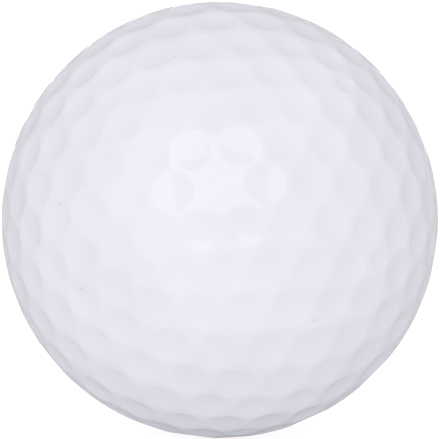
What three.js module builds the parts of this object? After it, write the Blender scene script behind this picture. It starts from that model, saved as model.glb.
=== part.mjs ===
import * as THREE from 'three';
import { ConvexHull } from 'three/addons/math/ConvexHull.js';

// Floating golf ball: a light rubber core inside a cover of two welded half shells.
// Lengths are in millimetres and angles in degrees. +Z is up, and the origin is the ball's centre.

// Ball
const ballDiameter = 42.67; // over the land between the dimples
const coverWall = 2; // from the ball's round down to the inner face of the cover
const bondGap = 0.1; // between the inner face of the cover and the core

// Dimples
const smallDimpleDiameter = 2.4; // the dimples that have five neighbours instead of six
const rimSlope = 15; // of a dimple's wall against the ball's round, at the rim
const landWidth = 0.32; // between the rims of neighbouring dimples

// Places of the dimples. Each half has small dimples at its pole and, evenly spaced, on one parallel.
// Rows of full dimples fill the cap between them, and two more rows fill the belt beside the seam.
const smallDimplesOnParallel = 5;
const capRows = 6; // from the pole to the parallel of the small dimples, along a meridian
const smallDimpleLatitude = 23.8;
const shortStep = 9.7; // from a small dimple to the next one along a meridian or its own row
const faceSag = 1.7; // by which the last cap row hangs towards the seam, midway between small dimples
const sagSharpness = 4; // power of the sine that spreads the sag along a row
const upperBeltLatitude = 15.9;
const seamRowLatitude = 5;

// Facets of a dimple
const rimSides = 10;
const bowlSides = 5;
const bowlShare = 0.55; // radius of the ring of facet corners inside a dimple, over the rim's radius

// How the ball lies
const leanBack = 21.5; // of the upper pole, away from the viewer at -Y
const leanLeft = 5.7; // of the upper pole, towards -X
const spin = 26.5; // about the line through the poles

const poleTolerance = 1e-6; // of a unit vector, within which it points at a pole

// Worked out from the sizes above
const ballRadius = ballDiameter / 2;
const coverInnerRadius = ballRadius - coverWall;
const coreRadius = coverInnerRadius - bondGap;
const beltDimples = smallDimplesOnParallel * capRows; // in each belt row
const sector = 360 / smallDimplesOnParallel;
const beltStep = 360 / beltDimples;
const fullStep = (90 - smallDimpleLatitude - 2 * shortStep) / (capRows - 2);
const halfTurn = beltStep / 4; // of each half from the shared X axis, so that the two seam rows mesh
const landAngle = angleOf(landWidth);
const smallRimAngle = angleOf(smallDimpleDiameter / 2);

function angleOf(arcLength) {
  return THREE.MathUtils.radToDeg(arcLength / ballRadius);
}

function lengthOf(angle) {
  return THREE.MathUtils.degToRad(angle) * ballRadius;
}

function direction(latitude, longitude) {
  const lat = THREE.MathUtils.degToRad(latitude);
  const lon = THREE.MathUtils.degToRad(longitude);
  return new THREE.Vector3(Math.cos(lat) * Math.cos(lon), Math.cos(lat) * Math.sin(lon), Math.sin(lat));
}

function latitudeOf(point) {
  return THREE.MathUtils.radToDeg(Math.asin(THREE.MathUtils.clamp(point.z, -1, 1)));
}

function longitudeOf(point) {
  return THREE.MathUtils.radToDeg(Math.atan2(point.y, point.x));
}

function angleBetween(a, b) {
  return THREE.MathUtils.radToDeg(a.angleTo(b));
}

// Half a turn about the X axis, which takes each half of the ball onto the other
function overTheSeam(point) {
  return new THREE.Vector3(point.x, -point.y, -point.z);
}

// Centres of one cap row, from one small dimple's meridian to just before the next one
function capRowCentres(row, meridian) {
  const lastRow = row === capRows;
  const colatitude = lastRow ? 90 - smallDimpleLatitude : shortStep + (row - 1) * fullStep;
  const start = direction(90 - colatitude, meridian);
  const end = direction(90 - colatitude, meridian + sector);
  const axis = start.clone().cross(end).normalize();
  const arc = angleBetween(start, end);
  const sag = (faceSag * Math.max(row - 2, 0)) / (capRows - 2);
  const centres = [{ centre: start, small: lastRow }];
  for (let step = 1; step < row; step += 1) {
    const evenShare = step / row;
    const shortShare = (shortStep + ((step - 1) * (arc - 2 * shortStep)) / (capRows - 2)) / arc;
    const share = lastRow ? shortShare : evenShare;
    const onArc = start.clone().applyAxisAngle(axis, THREE.MathUtils.degToRad(share * arc));
    const lowered = latitudeOf(onArc) - sag * Math.sin(Math.PI * share) ** sagSharpness;
    centres.push({ centre: direction(lowered, longitudeOf(onArc)), small: false });
  }
  return centres;
}

// Every dimple centre of the upper half
function upperCentres() {
  const dimples = [{ centre: direction(90, 0), small: true }];
  for (let row = 1; row <= capRows; row += 1) {
    for (let index = 0; index < smallDimplesOnParallel; index += 1) {
      dimples.push(...capRowCentres(row, index * sector - halfTurn));
    }
  }
  for (let index = 0; index < beltDimples; index += 1) {
    const meridian = index * beltStep - halfTurn;
    dimples.push({ centre: direction(upperBeltLatitude, meridian + beltStep / 2), small: false });
    dimples.push({ centre: direction(seamRowLatitude, meridian), small: false, besideSeam: true });
  }
  return dimples;
}

// A full dimple is as wide as its neighbours allow, with the land between the rims
function rimAngleOf(dimple, everyDimple) {
  if (dimple.small) {
    return smallRimAngle;
  }
  let widest = Infinity;
  for (const other of everyDimple) {
    if (other !== dimple) {
      const room = angleBetween(dimple.centre, other.centre) - landAngle;
      widest = Math.min(widest, other.small ? room - smallRimAngle : room / 2);
    }
  }
  return widest;
}

// Directions evenly spread around a centre, from the side of it that faces the nearer pole
function ringAround(centre, angle, count) {
  const east = new THREE.Vector3(-centre.y, centre.x, 0);
  if (east.length() < poleTolerance) {
    east.set(0, 1, 0);
  }
  east.normalize();
  const edge = centre.clone().applyAxisAngle(east, -THREE.MathUtils.degToRad(angle));
  const ring = [];
  for (let index = 0; index < count; index += 1) {
    ring.push(edge.clone().applyAxisAngle(centre, (2 * Math.PI * index) / count));
  }
  return ring;
}

// Facet corners of one dimple: its middle, a ring in the bowl, and the rim on the ball's round
function dimpleCorners({ centre, rimAngle }) {
  const depth = (lengthOf(rimAngle) * Math.tan(THREE.MathUtils.degToRad(rimSlope))) / 2;
  const corner = (point, share) => ({ point, radius: ballRadius - depth * (1 - share * share) });
  return [
    corner(centre, 0),
    ...ringAround(centre, rimAngle * bowlShare, bowlSides).map((point) => corner(point, bowlShare)),
    ...ringAround(centre, rimAngle, rimSides).map((point) => corner(point, 1)),
  ];
}

const upperDimples = upperCentres();
const everyDimple = [
  ...upperDimples,
  ...upperDimples.map(({ centre, small }) => ({ centre: overTheSeam(centre), small })),
];
for (const dimple of upperDimples) {
  dimple.rimAngle = rimAngleOf(dimple, everyDimple);
}

// The seam waves between the two rows of dimples that it parts: down under each upper one, up over
// each lower one, a land's width from their rims. Where the rims stay that far from the middle of the
// ball, it is straight.
const besideSeam = upperDimples.filter((dimple) => dimple.besideSeam);
const seamRowRimAngle = Math.min(...besideSeam.map(({ rimAngle }) => rimAngle));
const seamWave = Math.max(0, seamRowRimAngle + landAngle - seamRowLatitude);
const seamCorners = 2 * beltDimples;

function seamLatitude(longitude) {
  return -seamWave * Math.cos(THREE.MathUtils.degToRad((longitude + halfTurn) * beltDimples));
}

const seamRing = [];
for (let index = 0; index < seamCorners; index += 1) {
  const longitude = index * (beltStep / 2) - halfTurn;
  seamRing.push(direction(seamLatitude(longitude), longitude));
}

// Triangles over the points of the upper half, down to the seam. They are found on a copy of the
// points that is stretched from the pole so that the seam lies flat, and left out below the seam.
function facetsAboveSeam(points) {
  const flattened = [...points, ...seamRing].map((point, index) => {
    const longitude = longitudeOf(point);
    const seam = seamLatitude(longitude);
    const latitude = (90 * (latitudeOf(point) - seam)) / (90 - seam);
    return direction(index < points.length ? latitude : 0, longitude);
  });
  const indexOf = new Map(flattened.map((point, index) => [point, index]));
  const facets = [];
  for (const face of new ConvexHull().setFromPoints(flattened).faces) {
    const first = face.edge;
    const corners = [first, first.next, first.next.next].map((edge) => indexOf.get(edge.head().point));
    if (corners.some((corner) => corner < points.length)) {
      facets.push(corners);
    }
  }
  return facets;
}

// Corners of one half's surface, as [the half's own corners, the seam's corners]. On the lower half
// the seam's corners are taken in the order that half a turn about X gives them.
function surfaceCorners(ownCorners, seamRadius, lower) {
  const own = ownCorners.map(({ point, radius }) => {
    const turned = lower ? overTheSeam(point) : point.clone();
    return turned.multiplyScalar(radius);
  });
  const seam = seamRing.map((_, index) => {
    const shared = lower ? (seamCorners + 1 - index) % seamCorners : index;
    return seamRing[shared].clone().multiplyScalar(seamRadius);
  });
  return [...own, ...seam];
}

function geometryOf(corners, facets) {
  const geometry = new THREE.BufferGeometry();
  geometry.setFromPoints(corners);
  geometry.setIndex(facets.flat());
  geometry.computeVertexNormals();
  return geometry;
}

const outerCorners = upperDimples.flatMap(dimpleCorners);
const outerFacets = facetsAboveSeam(outerCorners.map(({ point }) => point));
const innerPoints = upperDimples.map(({ centre }) => centre);
const innerFacets = facetsAboveSeam(innerPoints);

// One half of the cover: the dimpled outside, the inside, and the weld face between them
function coverHalf(lower) {
  const outer = surfaceCorners(outerCorners, ballRadius, lower);
  const innerOwn = innerPoints.map((point) => ({ point, radius: coverInnerRadius }));
  const inner = surfaceCorners(innerOwn, coverInnerRadius, lower);
  const outerSeam = outerCorners.length;
  const innerStart = outer.length;
  const innerSeam = innerStart + innerPoints.length;
  const facets = outerFacets.map((facet) => [...facet]);
  for (const [a, b, c] of innerFacets) {
    facets.push([a + innerStart, c + innerStart, b + innerStart]);
  }
  for (let index = 0; index < seamCorners; index += 1) {
    const next = (index + 1) % seamCorners;
    facets.push([outerSeam + index, innerSeam + index, innerSeam + next]);
    facets.push([outerSeam + index, innerSeam + next, outerSeam + next]);
  }
  return geometryOf([...outer, ...inner], facets);
}

// The core has the facets of the cover's inner face, so that the bond between them is even
function coreBody() {
  const own = innerPoints.map((point) => ({ point, radius: coreRadius }));
  const upper = surfaceCorners(own, coreRadius, false);
  const lower = surfaceCorners(own, coreRadius, true).slice(0, own.length);
  const lowerIndex = (corner) => {
    const seam = corner - own.length;
    return seam < 0 ? upper.length + corner : own.length + ((seamCorners + 1 - seam) % seamCorners);
  };
  const facets = [...innerFacets, ...innerFacets.map((facet) => facet.map(lowerIndex))];
  return geometryOf([...upper, ...lower], facets);
}

const coverFinish = { color: 0xebebf5, roughness: 0.22, metalness: 0 };
const coreFinish = { color: 0xa9b4b0, roughness: 0.85, metalness: 0 };

function namedMesh(name, geometry, finish) {
  const mesh = new THREE.Mesh(geometry, new THREE.MeshStandardMaterial(finish));
  mesh.name = name;
  return mesh;
}

const ball = new THREE.Group();
ball.add(namedMesh('core', coreBody(), coreFinish));
ball.add(namedMesh('cover_upper', coverHalf(false), coverFinish));
ball.add(namedMesh('cover_lower', coverHalf(true), coverFinish));
ball.rotation.set(
  THREE.MathUtils.degToRad(-leanBack),
  THREE.MathUtils.degToRad(-leanLeft),
  THREE.MathUtils.degToRad(spin),
);

const floatingGolfBall = new THREE.Group();
floatingGolfBall.add(ball);

export default floatingGolfBall;
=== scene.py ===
"""Dressed model of a floating golf ball: a rubber core in a glossy dimpled cover of two half shells.

Lengths are in metres and angles in degrees, unless a name says otherwise. The ball's centre is the
origin, +Z is up and the viewer stands at -Y.
"""

import logging
import math
from dataclasses import dataclass, replace
from enum import Enum

import bpy
from mathutils import Matrix, Vector
from mathutils.geometry import delaunay_2d_cdt


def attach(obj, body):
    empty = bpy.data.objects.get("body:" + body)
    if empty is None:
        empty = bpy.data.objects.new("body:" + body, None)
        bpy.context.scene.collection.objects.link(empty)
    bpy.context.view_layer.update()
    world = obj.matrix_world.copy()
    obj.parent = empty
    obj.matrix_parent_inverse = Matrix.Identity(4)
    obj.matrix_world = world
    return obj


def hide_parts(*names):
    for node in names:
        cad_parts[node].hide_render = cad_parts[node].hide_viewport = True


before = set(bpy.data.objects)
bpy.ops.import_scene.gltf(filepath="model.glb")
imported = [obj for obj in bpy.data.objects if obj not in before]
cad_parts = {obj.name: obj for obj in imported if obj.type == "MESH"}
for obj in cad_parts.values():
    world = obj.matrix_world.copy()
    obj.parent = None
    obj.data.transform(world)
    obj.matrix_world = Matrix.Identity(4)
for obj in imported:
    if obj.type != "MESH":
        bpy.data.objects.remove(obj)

log = logging.getLogger("floating_golf_ball")

Socket = bpy.types.NodeSocket
Colour = tuple[float, float, float, float]

# What delaunay_2d_cdt is asked for: all the triangles between the points.
ALL_TRIANGLES = 0


class Half(Enum):
    """The two halves of the cover, named by the pole that each holds."""

    UPPER = "cover_upper"
    LOWER = "cover_lower"


def direction(latitude: float, longitude: float) -> Vector:
    """Gives the unit vector at a latitude and longitude of the pattern.

    Args:
        latitude: Degrees above the pattern's equator.
        longitude: Degrees round the line through its poles.

    Returns:
        The unit vector, with the upper pole along +Z.
    """
    lat, lon = math.radians(latitude), math.radians(longitude)
    return Vector((math.cos(lat) * math.cos(lon), math.cos(lat) * math.sin(lon), math.sin(lat)))


def latitude_of(point: Vector) -> float:
    """Gives the latitude of a unit vector."""
    return math.degrees(math.asin(max(-1.0, min(1.0, point.z))))


def longitude_of(point: Vector) -> float:
    """Gives the longitude of a unit vector."""
    return math.degrees(math.atan2(point.y, point.x))


def over_the_seam(point: Vector) -> Vector:
    """Turns a point half a turn about the X axis, which takes each half of the ball to the other."""
    return Vector((point.x, -point.y, -point.z))


class Graph:
    """A node tree under construction, shader or geometry."""

    def __init__(self, tree: bpy.types.NodeTree) -> None:
        """Starts on an empty tree.

        Args:
            tree: The tree to fill.
        """
        self.tree = tree
        tree.nodes.clear()

    def add(self, kind: str, inputs: dict | None = None, **settings: object) -> bpy.types.Node:
        """Adds a node and feeds its inputs.

        Args:
            kind: The node's type.
            inputs: Values or sockets, by the input's name or number.
            **settings: Properties of the node itself.

        Returns:
            The new node.
        """
        node = self.tree.nodes.new(kind)
        for name, value in settings.items():
            setattr(node, name, value)
        for key, value in (inputs or {}).items():
            self.feed(node.inputs[key], value)
        return node

    def feed(self, target: Socket, value: object) -> None:
        """Links a socket to an input, or sets the input's own value.

        Args:
            target: The input.
            value: A socket of another node, or a plain value.
        """
        if isinstance(value, Socket):
            self.tree.links.new(value, target)
        else:
            target.default_value = value

    def through(self, kind: str, shape: Socket, inputs: dict | None = None, **settings: object) -> Socket:
        """Passes a geometry through a node, and returns what comes out."""
        return self.add(kind, {"Geometry": shape, **(inputs or {})}, **settings).outputs["Geometry"]

    def math(self, operation: str, *values: object) -> Socket:
        """Adds a Math node and returns its result."""
        return self.add("ShaderNodeMath", dict(enumerate(values)), operation=operation).outputs[0]

    def vector(self, operation: str, *values: object) -> Socket:
        """Adds a Vector Math node and returns its result."""
        node = self.add("ShaderNodeVectorMath", dict(enumerate(values)), operation=operation)
        return node.outputs["Value" if operation == "DOT_PRODUCT" else "Vector"]

    def scaled(self, vector: object, factor: object) -> Socket:
        """Multiplies a vector by a number."""
        inputs = {"Vector": vector, "Scale": factor}
        return self.add("ShaderNodeVectorMath", inputs, operation="SCALE").outputs["Vector"]

    def ramp(self, value: object, low: float, high: float, rising: bool = True) -> Socket:
        """Gives a smooth step between 0 and 1.

        Args:
            value: The value that the step follows.
            low: Where the step starts.
            high: Where it ends.
            rising: Whether it goes from 0 to 1, and not from 1 to 0.

        Returns:
            The step.
        """
        ends = {"To Min": float(not rising), "To Max": float(rising)}
        inputs = {"Value": value, "From Min": low, "From Max": high, **ends}
        return self.add("ShaderNodeMapRange", inputs, interpolation_type="SMOOTHSTEP").outputs["Result"]

    def mixed(self, share: object, first: object, second: object) -> Socket:
        """Mixes two numbers, the second one by the given share."""
        return self.add("ShaderNodeMix", {0: share, 2: first, 3: second}).outputs[0]

    def blended(self, share: object, first: object, second: object) -> Socket:
        """Mixes two colours, the second one by the given share."""
        return self.add("ShaderNodeMix", {0: share, 6: first, 7: second}, data_type="RGBA").outputs[2]

    def noise(self, place: Socket, size: float, detail: float) -> Socket:
        """Gives a noise from 0 to 1 whose blotches are about a given size."""
        inputs = {"Vector": place, "Scale": 1 / size, "Detail": detail}
        return self.add("ShaderNodeTexNoise", inputs).outputs["Fac"]

    def relief(self, height: Socket) -> Socket:
        """Gives the normals of a surface that is raised by a height in metres."""
        inputs = {"Height": height, "Distance": 1.0, "Strength": 1.0}
        return self.add("ShaderNodeBump", inputs).outputs["Normal"]

    def surface(self, inputs: dict) -> None:
        """Gives the material a Principled surface with these inputs."""
        shader = self.add("ShaderNodeBsdfPrincipled", inputs)
        self.add("ShaderNodeOutputMaterial", {"Surface": shader.outputs["BSDF"]})


@dataclass(frozen=True)
class Dimple:
    """One dimple of the upper half.

    Attributes:
        centre: Unit vector to its middle.
        small: Whether it is one of those that have five neighbours.
        beside_seam: Whether it stands in the row beside the seam.
        rim: Angle between its middle and its rim, at the ball's centre.
    """

    centre: Vector
    small: bool
    beside_seam: bool = False
    rim: float = 0.0


@dataclass
class DimpleLayout:
    """Where the dimples lie, how wide they are, and the seam that passes between them.

    The pattern repeats five times round the line through its poles, and the lower half is the upper
    half turned over. A half has a cap of rows round its pole, and two belts between cap and seam.

    Attributes:
        ball_radius: Radius of the ball over the land between its dimples.
        small_dimple_diameter: Width of the dimples that have five neighbours.
        land_width: Least width of the land between two rims.
        small_dimples_on_parallel: Small dimples in the cap's last row.
        cap_rows: Rows of the cap, without the dimple at the pole.
        small_dimple_latitude: Latitude of the small dimples in the cap's last row.
        short_step: Angle between the middles of a small dimple and the next one.
        face_sag: How far the last row bows towards the seam between its small dimples.
        sag_power: How closely the bow keeps to the middle between them.
        upper_belt_latitude: Latitude of the belt under the cap.
        seam_row_latitude: Latitude of the belt beside the seam.
        lean_back: How far the upper pole leans away from the viewer.
        lean_left: How far it leans to the viewer's left.
        spin: Turn of the pattern round its own poles.
        seam_steps_per_wave: Points along one wave of the seam.
        least_gap: Distance, in ball radii, under which two points count as one.
    """

    ball_radius: float
    small_dimple_diameter: float = 0.0024
    land_width: float = 0.00032
    small_dimples_on_parallel: int = 5
    cap_rows: int = 6
    small_dimple_latitude: float = 23.8
    short_step: float = 9.7
    face_sag: float = 1.7
    sag_power: int = 4
    upper_belt_latitude: float = 15.9
    seam_row_latitude: float = 5.0
    lean_back: float = 21.5
    lean_left: float = 5.7
    spin: float = 26.5
    seam_steps_per_wave: int = 16
    least_gap: float = 1e-7

    def __post_init__(self) -> None:
        """Works out the pattern from its sizes."""
        self.sector = 360 / self.small_dimples_on_parallel
        self.full_steps = self.cap_rows - 2
        self.full_step = (90 - self.small_dimple_latitude - 2 * self.short_step) / self.full_steps
        self.belt_dimples = self.small_dimples_on_parallel * self.cap_rows
        self.belt_step = 360 / self.belt_dimples
        # Half of the angle by which one half's pattern is turned against the other's.
        self.half_turn = self.belt_step / 4
        self.land = self.angle_of(self.land_width)
        self.dimples = self.with_rims(self.centres())
        seam_rims = [dimple.rim for dimple in self.dimples if dimple.beside_seam]
        self.seam_wave = max(0.0, min(seam_rims) + self.land - self.seam_row_latitude)
        self.seam_steps = self.belt_dimples * self.seam_steps_per_wave

    def angle_of(self, arc: float) -> float:
        """Gives the angle at the ball's centre for a length along its round."""
        return math.degrees(arc / self.ball_radius)

    def tilt(self) -> Matrix:
        """Gives the turn from the pattern's own axes to those of the ball as it lies.

        Returns:
            The turn.
        """
        turns = ((self.lean_back, "X", -1), (self.lean_left, "Y", -1), (self.spin, "Z", 1))
        matrix = Matrix.Identity(3)
        for angle, axis, sign in turns:
            matrix = matrix @ Matrix.Rotation(math.radians(sign * angle), 3, axis)
        return matrix

    def cap_row(self, row: int, meridian: float) -> list[Dimple]:
        """Places one cap row, from one small dimple's meridian to just before the next one.

        Args:
            row: Rows from the pole.
            meridian: Longitude that the row starts at.

        Returns:
            The row's dimples, without rims.
        """
        last_row = row == self.cap_rows
        colatitude = self.short_step + (row - 1) * self.full_step
        if last_row:
            colatitude = 90 - self.small_dimple_latitude
        start = direction(90 - colatitude, meridian)
        end = direction(90 - colatitude, meridian + self.sector)
        axis = start.cross(end).normalized()
        arc = math.degrees(start.angle(end))
        sag = self.face_sag * max(row - 2, 0) / self.full_steps
        dimples = [Dimple(start, small=last_row)]
        for step in range(1, row):
            share = step / row
            if last_row:
                even_step = (arc - 2 * self.short_step) / self.full_steps
                share = (self.short_step + (step - 1) * even_step) / arc
            on_arc = Matrix.Rotation(math.radians(share * arc), 3, axis) @ start
            lowered = latitude_of(on_arc) - sag * math.sin(math.pi * share) ** self.sag_power
            dimples.append(Dimple(direction(lowered, longitude_of(on_arc)), small=False))
        return dimples

    def centres(self) -> list[Dimple]:
        """Places every dimple of the upper half.

        Returns:
            The dimples, without rims.
        """
        dimples = [Dimple(direction(90, 0), small=True)]
        for row in range(1, self.cap_rows + 1):
            for index in range(self.small_dimples_on_parallel):
                dimples += self.cap_row(row, index * self.sector - self.half_turn)
        for index in range(self.belt_dimples):
            meridian = index * self.belt_step - self.half_turn
            under_cap = direction(self.upper_belt_latitude, meridian + self.belt_step / 2)
            dimples.append(Dimple(under_cap, small=False))
            over_seam = direction(self.seam_row_latitude, meridian)
            dimples.append(Dimple(over_seam, small=False, beside_seam=True))
        return dimples

    def room_beside(self, dimple: Dimple, other: Dimple, small_rim: float) -> float:
        """Gives the widest rim that leaves the land free between a full dimple and another one."""
        room = math.degrees(dimple.centre.angle(other.centre)) - self.land
        return room - small_rim if other.small else room / 2

    def with_rims(self, dimples: list[Dimple]) -> list[Dimple]:
        """Makes each full dimple as wide as its neighbours allow.

        Args:
            dimples: The upper half's dimples.

        Returns:
            The same dimples, with rims.
        """
        small_rim = self.angle_of(self.small_dimple_diameter / 2)
        around = dimples + [replace(dimple, centre=over_the_seam(dimple.centre)) for dimple in dimples]
        sized = []
        for dimple in dimples:
            rim = small_rim
            if not dimple.small:
                others = [other for other in around if other is not dimple]
                rim = min(self.room_beside(dimple, other, small_rim) for other in others)
            sized.append(replace(dimple, rim=rim))
        return sized

    def seam_latitude(self, longitude: float) -> float:
        """Gives the seam's latitude, which waves between the two rows of dimples that it parts."""
        phase = math.radians((longitude + self.half_turn) * self.belt_dimples)
        return -self.seam_wave * math.cos(phase)

    def seam_ring(self) -> list[Vector]:
        """Gives the unit vectors along the seam."""
        longitudes = [step * 360 / self.seam_steps - self.half_turn for step in range(self.seam_steps)]
        return [direction(self.seam_latitude(longitude), longitude) for longitude in longitudes]

    def flattened(self, point: Vector, on_seam: bool) -> Vector:
        """Gives a point's place on a flat copy of the upper half, whose seam is a circle.

        The point is drawn away from the pole as far as levels the seam, and then projected from
        the other pole.

        Args:
            point: Unit vector.
            on_seam: Whether the point is one of the seam's own.

        Returns:
            The place, in ball radii.
        """
        longitude = longitude_of(point)
        seam = self.seam_latitude(longitude)
        above = 0.0 if on_seam else latitude_of(point) - seam
        level = direction(90 * above / (90 - seam), longitude)
        return level.xy / (1 + level.z)

    def facets_above_seam(self, points: list[Vector], sides: int) -> list[tuple[int, ...]]:
        """Finds the triangles over the upper half's points, down to the seam.

        They are the Delaunay triangles of the flat copy, which keep to the outlines' edges.

        Args:
            points: Unit vectors, none of them on the seam, outline after outline.
            sides: Points of each outline, or 1 for points without outlines.

        Returns:
            Corner numbers, counted on from the points to the seam ring. No triangle crosses or
            fills an outline.
        """
        flat = [self.flattened(point, on_seam=False) for point in points]
        flat += [self.flattened(point, on_seam=True) for point in self.seam_ring()]
        outlined = range(len(points)) if sides > 1 else ()
        edges = [(index, index - index % sides + (index + 1) % sides) for index in outlined]
        mesh = delaunay_2d_cdt(flat, edges, [], ALL_TRIANGLES, self.least_gap)
        triangles, sources = mesh[2:4]
        facets = []
        for triangle in triangles:
            corners = tuple(sources[corner][0] for corner in triangle)
            outlines = {corner // sides for corner in corners}
            if max(corners) >= len(points) or len(outlines) > 1:
                facets.append(corners)
        return facets


def blank_material(name: str) -> tuple[bpy.types.Material, Graph]:
    """Makes a material that has no nodes yet.

    Args:
        name: The material's name.

    Returns:
        The material, and its node tree under construction.
    """
    material = bpy.data.materials.new(name)
    material.use_nodes = True
    return material, Graph(material.node_tree)


@dataclass(frozen=True)
class Specks:
    """Small round specks, scattered through a material.

    Attributes:
        spacing: Distance between the places where a speck may be.
        radius: Radius of a speck that the surface cuts through its middle.
        share: Share of the places that hold a speck.
        solid_share: Share of the radius inside which a speck has its full colour.
    """

    spacing: float
    radius: float
    share: float
    solid_share: float = 0.5

    def mask(self, graph: Graph, place: Socket) -> Socket:
        """Finds the specks on a surface.

        Args:
            graph: The material's tree.
            place: Where the surface is.

        Returns:
            1 inside a speck and 0 outside.
        """
        cells = graph.add("ShaderNodeTexVoronoi", {"Vector": place, "Scale": 1 / self.spacing})
        edge = self.radius / self.spacing
        inside = graph.ramp(cells.outputs["Distance"], edge * self.solid_share, edge, rising=False)
        draw = graph.add("ShaderNodeSeparateColor", {"Color": cells.outputs["Color"]}).outputs["Red"]
        return graph.math("MULTIPLY", inside, graph.math("LESS_THAN", draw, self.share))


@dataclass(frozen=True)
class Tones:
    """Large soft blotches of two close tones of one colour.

    Attributes:
        pale: The lighter tone.
        dim: The darker tone.
        size: Size of the blotches.
        detail: Fineness of their edges.
        low: Noise value under which all is pale.
        high: Noise value over which all is dim.
    """

    pale: Colour
    dim: Colour
    size: float
    detail: float
    low: float
    high: float

    def colour(self, graph: Graph, place: Socket) -> Socket:
        """Gives the colour at each place of a surface."""
        share = graph.ramp(graph.noise(place, self.size, self.detail), self.low, self.high)
        return graph.blended(share, self.pale, self.dim)


@dataclass(frozen=True)
class Unevenness:
    """Fine bumps in a surface.

    Attributes:
        size: Size of the bumps along the surface.
        detail: Fineness of their edges.
        height: Height from the lowest to the highest.
    """

    size: float
    detail: float
    height: float

    def rise(self, graph: Graph, place: Socket) -> Socket:
        """Gives the height of the bumps at each place of a surface."""
        return graph.math("MULTIPLY", graph.noise(place, self.size, self.detail), self.height)


@dataclass(frozen=True)
class CoverFinish:
    """White paint on ionomer resin, under a clear gloss coat, with a few specks of dirt.

    Attributes:
        name: Name of the material.
        paint: Tones of the paint.
        dirt_colour: Colour of every speck.
        dirt: The few specks that show from afar.
        dust: Fine specks between them.
        roughness: Roughness of the paint under the coat.
        specular: How much the paint itself shines under the coat.
        refraction: Refractive index of paint and coat.
        coat_roughness: Roughness of the coat.
        ripple: Slight waves in paint and coat.
        grain: Fine grain of the coat.
    """

    name: str = "ionomer_gloss_white"
    paint: Tones = Tones(
        (0.80, 0.80, 0.885, 1.0), (0.775, 0.775, 0.855, 1.0), size=0.009, detail=3.0, low=0.35, high=0.65
    )
    dirt_colour: Colour = (0.70, 0.70, 0.77, 1.0)
    dirt: Specks = Specks(spacing=0.0022, radius=0.00028, share=0.06)
    dust: Specks = Specks(spacing=0.0007, radius=0.00005, share=0.04)
    roughness: float = 0.34
    specular: float = 0.05
    refraction: float = 1.5
    coat_roughness: float = 0.03
    ripple: Unevenness = Unevenness(size=0.0013, detail=1.0, height=0.000012)
    grain: Unevenness = Unevenness(size=0.00025, detail=2.0, height=0.0000003)

    def material(self) -> bpy.types.Material:
        """Makes the finish as a material.

        Returns:
            The material.
        """
        material, graph = blank_material(self.name)
        place = graph.add("ShaderNodeTexCoord").outputs["Object"]
        paint = self.paint.colour(graph, place)
        dirt = graph.math("MAXIMUM", self.dirt.mask(graph, place), self.dust.mask(graph, place))
        height = graph.math("ADD", self.ripple.rise(graph, place), self.grain.rise(graph, place))
        normal = graph.relief(height)
        inputs = {
            "Base Color": graph.blended(dirt, paint, self.dirt_colour),
            "Roughness": self.roughness,
            "Specular IOR Level": self.specular,
            "IOR": self.refraction,
            "Normal": normal,
            "Coat Weight": 1.0,
            "Coat Roughness": self.coat_roughness,
            "Coat IOR": self.refraction,
            "Coat Normal": normal,
        }
        graph.surface(inputs)
        return material


@dataclass(frozen=True)
class CoreFinish:
    """Ground moulded rubber with pale specks of light filler.

    Attributes:
        name: Name of the material.
        rubber: Tones of the rubber.
        filler_colour: Colour of the filler.
        filler: The grains of filler that the surface cuts.
        roughness: Roughness of the ground surface.
        grain: Fine bumps left by the grinding.
    """

    name: str = "filled_rubber_grey"
    rubber: Tones = Tones(
        (0.40, 0.46, 0.44, 1.0), (0.33, 0.39, 0.37, 1.0), size=0.006, detail=3.0, low=0.3, high=0.7
    )
    filler_colour: Colour = (0.66, 0.70, 0.68, 1.0)
    filler: Specks = Specks(spacing=0.0006, radius=0.00022, share=0.6)
    roughness: float = 0.82
    grain: Unevenness = Unevenness(size=0.0004, detail=4.0, height=0.00003)

    def material(self) -> bpy.types.Material:
        """Makes the finish as a material.

        Returns:
            The material.
        """
        material, graph = blank_material(self.name)
        place = graph.add("ShaderNodeTexCoord").outputs["Object"]
        rubber = self.rubber.colour(graph, place)
        inputs = {
            "Base Color": graph.blended(self.filler.mask(graph, place), rubber, self.filler_colour),
            "Roughness": self.roughness,
            "Normal": graph.relief(self.grain.rise(graph, place)),
        }
        graph.surface(inputs)
        return material


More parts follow.
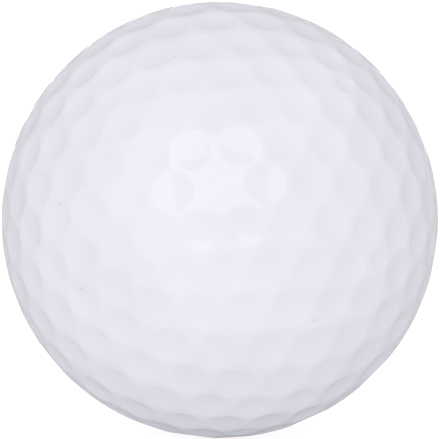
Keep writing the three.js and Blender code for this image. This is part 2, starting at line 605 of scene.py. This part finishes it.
class BowlTree:
    """Geometry Nodes that sink a bowl with a soft rim into every dimple's flat outline.

    Each turn of the repeat zone insets the flat faces that are marked as bowls and drops the new
    ring onto the bowl's curve, until the last ring closes on the dimple's middle.
    """

    BOWL = "bowl"
    CENTRE = "dimple_centre"
    RIM = "rim_radians"
    OUTLINE = "outline_radians"
    INPUTS = (
        ("Ball Radius", "NodeSocketFloat"),
        ("Rim Slope", "NodeSocketFloat"),
        ("Rim Softness", "NodeSocketFloat"),
        ("Rings", "NodeSocketInt"),
        ("Crowding", "NodeSocketFloat"),
        ("Merge Distance", "NodeSocketFloat"),
        ("Crisp Angle", "NodeSocketFloat"),
        ("Material", "NodeSocketMaterial"),
    )

    def __init__(self) -> None:
        """Builds the tree."""
        self.tree = bpy.data.node_groups.new("dimple_bowls", "GeometryNodeTree")
        sockets = self.tree.interface
        sockets.new_socket("Geometry", in_out="INPUT", socket_type="NodeSocketGeometry")
        for name, kind in self.INPUTS:
            sockets.new_socket(name, in_out="INPUT", socket_type=kind)
        sockets.new_socket("Geometry", in_out="OUTPUT", socket_type="NodeSocketGeometry")
        self.graph = Graph(self.tree)
        self.given = self.graph.add("NodeGroupInput").outputs
        self.graph.add("NodeGroupOutput", {"Geometry": self.dressed(self.sunk())})

    def named(self, name: str, kind: str) -> Socket:
        """Reads an attribute that the mesh carries."""
        inputs = {"Name": name}
        return self.graph.add("GeometryNodeInputNamedAttribute", inputs, data_type=kind).outputs[0]

    def height(self, angle: Socket) -> Socket:
        """Gives the height of a dimple's surface over the ball's round, below 0 inside the rim.

        Args:
            angle: Angle from the dimple's middle, in radians.

        Returns:
            The height of the bowl, rounded off into the land.
        """
        graph = self.graph
        rim = self.named(self.RIM, "FLOAT")
        half_slope = graph.math("MULTIPLY", graph.math("TANGENT", self.given["Rim Slope"]), 0.5)
        half_width = graph.math("MULTIPLY", self.given["Ball Radius"], rim)
        depth = graph.math("MULTIPLY", half_width, half_slope)
        ratio = graph.math("DIVIDE", angle, rim)
        under_rim = graph.math("SUBTRACT", graph.math("MULTIPLY", ratio, ratio), 1.0)
        bowl = graph.math("MULTIPLY", depth, under_rim)
        return graph.math("SMOOTH_MIN", bowl, 0.0, self.given["Rim Softness"])

    def ring_position(self, share: Socket) -> Socket:
        """Gives a ring's points on the bowl, which starts level with the flat outline.

        Args:
            share: Distance from the dimple's middle, over that of its flat outline.

        Returns:
            The position of each point of the ring.
        """
        graph = self.graph
        centre = self.named(self.CENTRE, "FLOAT_VECTOR")
        outline = self.named(self.OUTLINE, "FLOAT")
        angle = graph.math("MULTIPLY", outline, share)
        position = graph.add("GeometryNodeInputPosition").outputs[0]
        towards = graph.scaled(centre, graph.vector("DOT_PRODUCT", position, centre))
        across = graph.vector("NORMALIZE", graph.vector("SUBTRACT", position, towards))
        spoke = graph.vector(
            "ADD",
            graph.scaled(centre, graph.math("COSINE", angle)),
            graph.scaled(across, graph.math("SINE", angle)),
        )
        height = graph.math("SUBTRACT", self.height(angle), self.height(outline))
        return graph.scaled(spoke, graph.math("ADD", self.given["Ball Radius"], height))

    def sunk(self) -> Socket:
        """Sinks the bowls, ring by ring.

        Returns:
            The shell with its bowls, whose last rings lie on one point each.
        """
        graph = self.graph
        start = graph.add("GeometryNodeRepeatInput")
        end = graph.add("GeometryNodeRepeatOutput")
        start.pair_with_output(end)
        graph.feed(start.inputs["Iterations"], self.given["Rings"])
        graph.feed(start.inputs["Geometry"], self.given["Geometry"])

        turn = graph.math("ADD", start.outputs["Iteration"], 1.0)
        step = graph.math("DIVIDE", turn, self.given["Rings"])
        share = graph.math("SUBTRACT", 1.0, graph.math("POWER", step, self.given["Crowding"]))
        inputs = {
            "Mesh": start.outputs["Geometry"],
            "Selection": self.named(self.BOWL, "BOOLEAN"),
            "Offset Scale": 0.0,
        }
        inset = graph.add("GeometryNodeExtrudeMesh", inputs, mode="FACES").outputs
        inputs = {"Name": self.BOWL, "Value": inset["Top"]}
        kind = {"data_type": "BOOLEAN", "domain": "FACE"}
        marked = graph.through("GeometryNodeStoreNamedAttribute", inset["Mesh"], inputs, **kind)
        inputs = {
            "Selection": self.named(self.BOWL, "BOOLEAN"),
            "Position": self.ring_position(share),
        }
        moved = graph.through("GeometryNodeSetPosition", marked, inputs)
        graph.feed(end.inputs["Geometry"], moved)
        return end.outputs["Geometry"]

    def dressed(self, sunk: Socket) -> Socket:
        """Closes the bowls, smooths all but the weld's edges, and sets the material.

        Args:
            sunk: The shell with its bowls.

        Returns:
            The finished shell.
        """
        graph = self.graph
        inputs = {"Distance": self.given["Merge Distance"]}
        merged = graph.through("GeometryNodeMergeByDistance", sunk, inputs)
        smooth = graph.through("GeometryNodeSetShadeSmooth", merged, domain="FACE")
        angle = graph.add("GeometryNodeInputMeshEdgeAngle").outputs["Unsigned Angle"]
        sharp = graph.math("GREATER_THAN", angle, self.given["Crisp Angle"])
        inputs = {"Selection": sharp, "Shade Smooth": False}
        crisp = graph.through("GeometryNodeSetShadeSmooth", smooth, inputs, domain="EDGE")
        real = graph.through("GeometryNodeRealizeInstances", crisp)
        return graph.through("GeometryNodeSetMaterial", real, {"Material": self.given["Material"]})

    def applied(self, base: bpy.types.Mesh, name: str, values: dict[str, object]) -> bpy.types.Object:
        """Runs the tree on a mesh.

        Args:
            base: The mesh with flat dimples.
            name: Name of the finished piece.
            values: The tree's inputs, by name.

        Returns:
            The finished piece, a plain mesh.
        """
        piece = bpy.data.objects.new(name, base)
        bpy.context.scene.collection.objects.link(piece)
        modifier = piece.modifiers.new("bowls", "NODES")
        modifier.node_group = self.tree
        for item in self.tree.interface.items_tree:
            if item.in_out == "INPUT" and item.name in values:
                modifier[item.identifier] = values[item.name]
        evaluated = piece.evaluated_get(bpy.context.evaluated_depsgraph_get())
        finished = bpy.data.meshes.new_from_object(evaluated)
        piece.modifiers.clear()
        piece.data = finished
        finished.name = name
        return piece


@dataclass
class CoverHalf:
    """One half shell of the cover, with its dimples, inside wall and weld face.

    Attributes:
        half: Which half it is.
        layout: The pattern of dimples.
        bowls: The tree that sinks them.
        finish: The cover's material.
        wall: Thickness of the cover.
        rim_slope: How steeply a bowl meets its rim.
        rim_blend: Width over which the rim is rounded off.
        rim_sides: Sides of a dimple's outline.
        rings: Rings of faces in a bowl.
        crowding: How closely the rings crowd at the rim, where 1 is evenly.
        land_reach: Where the flat outline lies, as a share of the land from the rim outwards.
        inside_step: Angle between points of the inside wall.
        fewest_on_parallel: Fewest points on a parallel of the inside wall.
        merge_distance: Distance under which a bowl's last ring closes to one point.
        crisp_angle: Angle from which an edge stays crisp.
    """

    half: Half
    layout: DimpleLayout
    bowls: BowlTree
    finish: bpy.types.Material
    wall: float = 0.002
    rim_slope: float = 15.0
    rim_blend: float = 0.00025
    rim_sides: int = 24
    rings: int = 4
    crowding: float = 2.0
    land_reach: float = 0.4
    inside_step: float = 4.0
    fewest_on_parallel: int = 6
    merge_distance: float = 1e-7
    crisp_angle: float = 60.0

    def placed(self, point: Vector) -> Vector:
        """Turns a point of the upper half's pattern to where this half has it, as the ball lies."""
        turned = over_the_seam(point) if self.half is Half.LOWER else point
        return self.layout.tilt() @ turned

    def outline_angle(self, dimple: Dimple) -> float:
        """Gives the angle of a dimple's flat outline, which lies on the land just outside its rim."""
        return dimple.rim + self.land_reach * self.layout.land

    def outlines(self) -> list[Vector]:
        """Draws every dimple's flat outline.

        Returns:
            The outlines' points as unit vectors, dimple by dimple.
        """
        points = []
        for dimple in self.layout.dimples:
            side = dimple.centre.orthogonal().normalized()
            reach = math.radians(self.outline_angle(dimple))
            edge = Matrix.Rotation(reach, 3, side) @ dimple.centre
            for index in range(self.rim_sides):
                turn = Matrix.Rotation(2 * math.pi * index / self.rim_sides, 3, dimple.centre)
                points.append(turn @ edge)
        return points

    def inside_points(self) -> list[Vector]:
        """Spreads points over the inside, parallel by parallel, down to just above the seam.

        Returns:
            The points as unit vectors.
        """
        points = [direction(90, 0)]
        for row in range(1, round(90 / self.inside_step)):
            latitude = 90 - row * self.inside_step
            around = round(360 * math.cos(math.radians(latitude)) / self.inside_step)
            count = max(self.fewest_on_parallel, around)
            points += [direction(latitude, 360 * (index + row / 2) / count) for index in range(count)]
        return points

    def plain_faces(self, outside: list[Vector], inside: list[Vector], seam_steps: int) -> list[tuple]:
        """Joins the shell's points to the faces that aren't bowls.

        Args:
            outside: Points of the dimples' outlines.
            inside: Points of the inside wall.
            seam_steps: Points of the seam, which follow the outside's and again the inside's.

        Returns:
            The land between the dimples, the inside wall and the weld face.
        """
        outer_seam = len(outside)
        inside_start = outer_seam + seam_steps
        inner_seam = inside_start + len(inside)
        land = self.layout.facets_above_seam(outside, self.rim_sides)
        lining = []
        for facet in self.layout.facets_above_seam(inside, 1):
            lining.append(tuple(corner + inside_start for corner in reversed(facet)))
        weld = []
        for step in range(seam_steps):
            after = (step + 1) % seam_steps
            weld.append((outer_seam + step, inner_seam + step, inner_seam + after, outer_seam + after))
        return land + lining + weld

    def mark_bowls(self, mesh: bpy.types.Mesh) -> None:
        """Stores which faces are bowls, and the middle and the angles of each dimple's outline.

        Args:
            mesh: The flat shell, whose first faces and points are the dimples' outlines.
        """
        dimples = self.layout.dimples
        centres, rims, outlines = [], [], []
        for dimple in dimples:
            centres += list(self.placed(dimple.centre)) * self.rim_sides
            rims += [math.radians(dimple.rim)] * self.rim_sides
            outlines += [math.radians(self.outline_angle(dimple))] * self.rim_sides
        others = len(mesh.vertices) - len(rims)
        marks = [True] * len(dimples) + [False] * (len(mesh.polygons) - len(dimples))
        stored = (
            (BowlTree.CENTRE, "FLOAT_VECTOR", "POINT", "vector", centres + [0.0] * (3 * others)),
            (BowlTree.RIM, "FLOAT", "POINT", "value", rims + [1.0] * others),
            (BowlTree.OUTLINE, "FLOAT", "POINT", "value", outlines + [1.0] * others),
            (BowlTree.BOWL, "BOOLEAN", "FACE", "value", marks),
        )
        for name, kind, domain, field, values in stored:
            mesh.attributes.new(name, kind, domain).data.foreach_set(field, values)

    def base_mesh(self) -> bpy.types.Mesh:
        """Makes the closed shell whose dimples are still flat faces, marked for the bowls.

        Returns:
            The shell.
        """
        outside = self.outlines()
        inside = self.inside_points()
        ring = self.layout.seam_ring()
        outer_radius = self.layout.ball_radius
        inner_radius = outer_radius - self.wall
        points = [self.placed(point) * outer_radius for point in outside + ring]
        points += [self.placed(point) * inner_radius for point in inside + ring]
        starts = range(0, len(outside), self.rim_sides)
        bowls = [tuple(range(start, start + self.rim_sides)) for start in starts]
        mesh = bpy.data.meshes.new(f"{self.half.value}_flat")
        mesh.from_pydata(points, [], bowls + self.plain_faces(outside, inside, len(ring)))
        self.mark_bowls(mesh)
        return mesh

    def build(self) -> bpy.types.Object:
        """Makes the half shell and fastens it to its body.

        Returns:
            The half shell.
        """
        values = {
            "Ball Radius": self.layout.ball_radius,
            "Rim Slope": math.radians(self.rim_slope),
            "Rim Softness": self.rim_blend * math.tan(math.radians(self.rim_slope)),
            "Rings": self.rings,
            "Crowding": self.crowding,
            "Merge Distance": self.merge_distance,
            "Crisp Angle": math.radians(self.crisp_angle),
            "Material": self.finish,
        }
        piece = self.bowls.applied(self.base_mesh(), f"{self.half.value}_shell", values)
        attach(piece, "root")
        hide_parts(self.half.value)
        return piece


@dataclass
class Core:
    """The light rubber core that makes the ball float, with the line where its mould parted.

    Attributes:
        finish: The core's material.
        radius: Radius of the core.
        segments: Faces round it.
        rings: Rings of faces from pole to pole.
        crowding: Odd power that crowds the rings at the parting line.
        parting_width: Width from the middle of the parting line to where it fades.
        parting_depth: Depth of the parting line.
    """

    finish: bpy.types.Material
    radius: float
    segments: int = 192
    rings: int = 96
    crowding: int = 3
    parting_width: float = 0.0006
    parting_depth: float = 0.00006

    def latitudes(self) -> list[float]:
        """Gives the parallels in degrees, from just above one pole, crowded at the parting line."""
        heights = [2 * row / self.rings - 1 for row in range(1, self.rings)]
        return [90 * (height + height**self.crowding) / 2 for height in heights]

    def points(self) -> list[Vector]:
        """Places the points of the ball.

        Returns:
            The lower pole, then parallel by parallel, then the upper pole.
        """
        points = [Vector((0.0, 0.0, -self.radius))]
        for latitude in self.latitudes():
            from_line = math.radians(latitude) * self.radius / self.parting_width
            radius = self.radius - self.parting_depth * math.exp(-(from_line**2))
            for index in range(self.segments):
                points.append(direction(latitude, 360 * index / self.segments) * radius)
        points.append(Vector((0.0, 0.0, self.radius)))
        return points

    def faces(self) -> list[tuple[int, ...]]:
        """Joins the points to a ball that is closed at both poles.

        Returns:
            The corner numbers of each face.
        """
        faces = []
        last_ring = 1 + (self.rings - 2) * self.segments
        upper_pole = last_ring + self.segments
        for index in range(self.segments):
            after = (index + 1) % self.segments
            faces.append((0, 1 + after, 1 + index))
            faces.append((upper_pole, last_ring + index, last_ring + after))
            for start in range(1, last_ring, self.segments):
                above = start + self.segments
                faces.append((start + index, start + after, above + after, above + index))
        return faces

    def build(self) -> bpy.types.Object:
        """Makes the core and fastens it to its body.

        Returns:
            The core.
        """
        mesh = bpy.data.meshes.new("core_ball")
        mesh.from_pydata(self.points(), [], self.faces())
        mesh.shade_smooth()
        mesh.materials.append(self.finish)
        piece = bpy.data.objects.new("core_ball", mesh)
        bpy.context.scene.collection.objects.link(piece)
        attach(piece, "root")
        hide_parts("core")
        return piece


def heading(azimuth: float, elevation: float) -> Vector:
    """Gives the direction from the ball to something around it.

    Args:
        azimuth: Degrees to the viewer's right of straight ahead.
        elevation: Degrees above the horizon.

    Returns:
        The unit vector.
    """
    side, rise = math.radians(azimuth), math.radians(elevation)
    return Vector((math.sin(side) * math.cos(rise), -math.cos(side) * math.cos(rise), math.sin(rise)))


@dataclass(frozen=True)
class Softbox:
    """A rectangular lamp that faces the ball.

    Attributes:
        name: Name of the lamp.
        azimuth: Where it hangs, to the viewer's right of straight ahead.
        elevation: Where it hangs, above the horizon.
        half_width: Half its width, as the ball sees it.
        half_height: Half its height, as the ball sees it.
        radiance: Brightness of its face, where the room's white has about 1.
        mirrored: Whether it shows in the ball's gloss.
        distance: How far it hangs from the ball's centre.
    """

    name: str
    azimuth: float
    elevation: float
    half_width: float
    half_height: float
    radiance: float
    mirrored: bool
    distance: float = 0.5

    def hang(self) -> None:
        """Puts the lamp in its place."""
        data = bpy.data.lights.new(self.name, "AREA")
        data.shape = "RECTANGLE"
        data.size = 2 * self.distance * math.tan(math.radians(self.half_width))
        data.size_y = 2 * self.distance * math.tan(math.radians(self.half_height))
        data.energy = self.radiance * math.pi * data.size * data.size_y
        lamp = bpy.data.objects.new(self.name, data)
        towards = heading(self.azimuth, self.elevation)
        lamp.location = towards * self.distance
        lamp.rotation_euler = (-towards).to_track_quat("-Z", "Y").to_euler()
        lamp.visible_glossy = self.mirrored
        bpy.context.scene.collection.objects.link(lamp)


@dataclass(frozen=True)
class Glow:
    """How bright the room or the floor is.

    Attributes:
        lit: Mean strength of its light on the ball.
        mirrored: Strength in the ball's reflections.
        seen: Strength for the camera, and in reflections of the backdrop.
    """

    lit: float
    mirrored: float
    seen: float


@dataclass
class Studio:
    """The camera at the photograph's viewing angle, a pale floor and soft light.

    The room and the floor's glow lean: they are brighter on the viewer's side of the ball than
    behind it.

    Attributes:
        ball_radius: Radius of the ball, which stands on the floor.
        image_size_px: Width and height of the picture.
        ball_centre_px: Place of the ball's centre in the picture, from its upper left corner.
        ball_outline_px: Radius of the ball's outline in the picture.
        camera_distance: From the ball's centre to the camera.
        camera_elevation: Of the camera, above the horizon.
        camera_reach: Nearest and farthest distance that the camera sees.
        sensor_width_mm: Width of the camera's sensor.
        key: The key light, over the camera.
        back: A panel behind the ball.
        room: How bright the room is.
        lean: Share by which the brightest side of room and floor is over the mean.
        lean_azimuth: Azimuth of the brightest side.
        lean_elevation: Elevation of the brightest side.
        backdrop_half_angle: Half the width of the white backdrop behind the ball.
        backdrop_blend: How softly it ends, as a change of the angle's cosine.
        floor_size: Width of the floor.
        floor_tone: How pale the floor's own colour is.
        floor_glow: How much the floor glows of itself.
    """

    ball_radius: float
    image_size_px: tuple[int, int] = (440, 439)
    ball_centre_px: tuple[float, float] = (219.27, 219.10)
    ball_outline_px: float = 218.36
    camera_distance: float = 0.6507
    camera_elevation: float = 8.0
    camera_reach: tuple[float, float] = (0.01, 10.0)
    sensor_width_mm: float = 36.0
    key: Softbox = Softbox(
        "key_softbox", -1.8, 30.5, half_width=22.9, half_height=20.4, radiance=0.75, mirrored=True
    )
    back: Softbox = Softbox(
        "back_panel", 180.0, 4.0, half_width=14.0, half_height=5.0, radiance=11.0, mirrored=False
    )
    room: Glow = Glow(lit=0.776, mirrored=0.6, seen=1.0)
    lean: float = 0.37
    lean_azimuth: float = -10.0
    lean_elevation: float = 20.0
    backdrop_half_angle: float = 12.0
    backdrop_blend: float = 0.01
    floor_size: float = 3.0
    floor_tone: float = 0.45
    floor_glow: Glow = Glow(lit=0.435, mirrored=0.18, seen=0.75)

    def set_up_camera(self) -> None:
        """Points the camera at the ball and frames it as the photograph does."""
        width, height = self.image_size_px
        focal_px = self.ball_outline_px * math.sqrt((self.camera_distance / self.ball_radius) ** 2 - 1)
        data = bpy.data.cameras.new("camera")
        data.sensor_fit = "HORIZONTAL"
        data.sensor_width = self.sensor_width_mm
        data.lens = focal_px / width * self.sensor_width_mm
        data.shift_x = ((width - 1) / 2 - self.ball_centre_px[0]) / width
        data.shift_y = (self.ball_centre_px[1] - (height - 1) / 2) / width
        data.clip_start, data.clip_end = self.camera_reach
        camera = bpy.data.objects.new("camera", data)
        back = heading(0, self.camera_elevation)
        camera.location = back * self.camera_distance
        camera.rotation_euler = (-back).to_track_quat("-Z", "Y").to_euler()
        bpy.context.scene.collection.objects.link(camera)
        bpy.context.scene.camera = camera

    def leaning(self, graph: Graph, towards: Socket, mean: float) -> Socket:
        """Gives a brightness that rises evenly from behind the ball to the viewer's side."""
        facing = graph.vector("DOT_PRODUCT", towards, heading(self.lean_azimuth, self.lean_elevation))
        return graph.math("MULTIPLY_ADD", facing, mean * self.lean, mean)

    def in_backdrop(self, graph: Graph, towards: Socket) -> Socket:
        """Finds the backdrop behind the ball.

        Args:
            graph: The tree that needs it.
            towards: The direction from the ball.

        Returns:
            1 where the direction meets the backdrop, and 0 elsewhere.
        """
        behind = -heading(0, self.camera_elevation)
        edge = math.cos(math.radians(self.backdrop_half_angle))
        facing = graph.vector("DOT_PRODUCT", towards, behind)
        return graph.ramp(facing, edge - self.backdrop_blend, edge)

    def strength(self, graph: Graph, towards: Socket, glow: Glow) -> Socket:
        """Gives the strength of the light from one direction, by what it falls on.

        Args:
            graph: The tree that needs it.
            towards: The direction from the ball.
            glow: How bright the room or the floor is.

        Returns:
            The strength.
        """
        path = graph.add("ShaderNodeLightPath").outputs
        reflected = graph.math("MAXIMUM", path["Is Glossy Ray"], path["Is Transmission Ray"])
        plain = graph.mixed(reflected, self.leaning(graph, towards, glow.lit), glow.mirrored)
        backdrop = graph.math("MULTIPLY", reflected, self.in_backdrop(graph, towards))
        white = graph.math("MAXIMUM", path["Is Camera Ray"], backdrop)
        return graph.mixed(white, plain, glow.seen)

    def light_room(self) -> None:
        """Makes the room's light, which leans, and is white for the camera."""
        world = bpy.data.worlds.new("studio")
        world.use_nodes = True
        bpy.context.scene.world = world
        graph = Graph(world.node_tree)
        around = graph.add("ShaderNodeTexCoord").outputs["Generated"]
        inputs = {"Color": (1.0, 1.0, 1.0, 1.0), "Strength": self.strength(graph, around, self.room)}
        glow = graph.add("ShaderNodeBackground", inputs)
        graph.add("ShaderNodeOutputWorld", {"Surface": glow.outputs["Background"]})

    def floor_material(self) -> bpy.types.Material:
        """Makes the floor's material, which takes the ball's shadow and glows a little.

        Returns:
            The material.
        """
        material, graph = blank_material("studio_floor")
        place = graph.add("ShaderNodeNewGeometry").outputs["Position"]
        towards = graph.vector("NORMALIZE", place)
        strength = self.strength(graph, towards, self.floor_glow)
        glow = graph.add("ShaderNodeEmission", {"Strength": strength})
        tone = (self.floor_tone, self.floor_tone, self.floor_tone, 1.0)
        paper = graph.add("ShaderNodeBsdfDiffuse", {"Color": tone})
        both = graph.add("ShaderNodeAddShader", {0: paper.outputs[0], 1: glow.outputs[0]})
        graph.add("ShaderNodeOutputMaterial", {"Surface": both.outputs[0]})
        return material

    def lay_floor(self) -> None:
        """Lays the floor that the ball stands on."""
        half, drop = self.floor_size / 2, -self.ball_radius
        corners = [(-half, -half, drop), (half, -half, drop), (half, half, drop), (-half, half, drop)]
        mesh = bpy.data.meshes.new("floor")
        mesh.from_pydata(corners, [], [(0, 1, 2, 3)])
        mesh.materials.append(self.floor_material())
        floor = bpy.data.objects.new("floor", mesh)
        bpy.context.scene.collection.objects.link(floor)

    def build(self) -> None:
        """Sets up everything that isn't the ball."""
        bpy.context.scene.view_settings.view_transform = "Standard"
        self.set_up_camera()
        self.key.hang()
        self.back.hang()
        self.light_room()
        self.lay_floor()


def farthest_point(node: str) -> float:
    """Gives the distance from the ball's centre to a CAD node's farthest point."""
    return max(vert.co.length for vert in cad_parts[node].data.vertices)


def main() -> None:
    """Builds the ball and its studio."""
    logging.basicConfig(level=logging.INFO, format="%(message)s")
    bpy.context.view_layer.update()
    ball_radius = farthest_point(Half.UPPER.value)
    Studio(ball_radius).build()
    layout = DimpleLayout(ball_radius)
    log.info("%d dimples on each half", len(layout.dimples))
    bowls = BowlTree()
    cover_finish = CoverFinish().material()
    for half in Half:
        piece = CoverHalf(half, layout, bowls, cover_finish).build()
        log.info("%s: %d faces", piece.name, len(piece.data.polygons))
    core = Core(CoreFinish().material(), farthest_point("core")).build()
    log.info("%s: %d faces", core.name, len(core.data.polygons))


if __name__ == "__main__":
    main()
